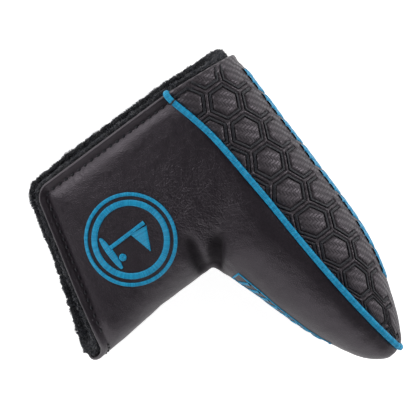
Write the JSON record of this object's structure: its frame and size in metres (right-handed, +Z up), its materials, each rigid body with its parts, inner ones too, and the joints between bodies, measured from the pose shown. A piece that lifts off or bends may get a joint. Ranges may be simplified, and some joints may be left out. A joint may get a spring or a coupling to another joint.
{
  "type": "putter head cover",
  "caption": "Boot-shaped padded leather cover for a blade putter head, fleece lined, with blue piped seams, embroidery and two flaps that peel open.",
  "frame": {"origin": "centre of the bottom face of the box, on the surface that the cover's flat rear side lies on", "axes": "+X along the sole from heel to toe, +Y out of the sole, +Z up, out of the front side"},
  "size_m": [0.1606, 0.1314, 0.0573],
  "materials": {
    "black_leather": "satin",
    "sole_twill_leather": "satin twill",
    "blue_thread": "satin",
    "black_thread": "satin",
    "foam": "matte",
    "fleece": "matte pile",
    "magnet_steel": "polished",
    "pouch_fabric": "matte"
  },
  "bodies": {
    "body": {"body_leather": "black_leather", "body_lining": "fleece", "body_padding": "foam", "emblem_body_part": "blue_thread", "front_seam_piping": "blue_thread", "neck_hem_stitches": "black_thread", "piping_bar_tack": "black_thread", "rear_seam_piping": "blue_thread", "ridge_stripe_embroidery": "blue_thread", "sole_hem_stitches": "black_thread", "sole_lining": "fleece", "sole_padding": "foam", "sole_panel": "sole_twill_leather", "toe_bar_embroidery": "blue_thread"},
    "front_flap": {"emblem_flap_part": "blue_thread", "front_flap_leather": "black_leather", "front_flap_lining": "fleece", "front_flap_magnet_pouches": "pouch_fabric", "front_flap_magnets": "magnet_steel", "front_flap_padding": "foam", "front_flap_stitches": "black_thread"},
    "rear_flap": {"rear_flap_leather": "black_leather", "rear_flap_lining": "fleece", "rear_flap_magnet_pouches": "pouch_fabric", "rear_flap_magnets": "magnet_steel", "rear_flap_padding": "foam", "rear_flap_stitches": "black_thread"}
  },
  "joints": [
    {"name": "front_flap_hinge", "type": "hinge", "parent": "body", "child": "front_flap", "pos_m": [-0.04622, -0.01554, 0.04202], "axis": [-0.5282, 0.8146, 0.2397], "range_deg": [0, 70], "stiffness_Nm_per_rad": 0.054},
    {"name": "rear_flap_hinge", "type": "hinge", "parent": "body", "child": "rear_flap", "pos_m": [-0.04622, -0.00947, -0.00015], "axis": [0.5282, -0.8492, 0], "range_deg": [0, 70], "stiffness_Nm_per_rad": 0.054}
  ]
}
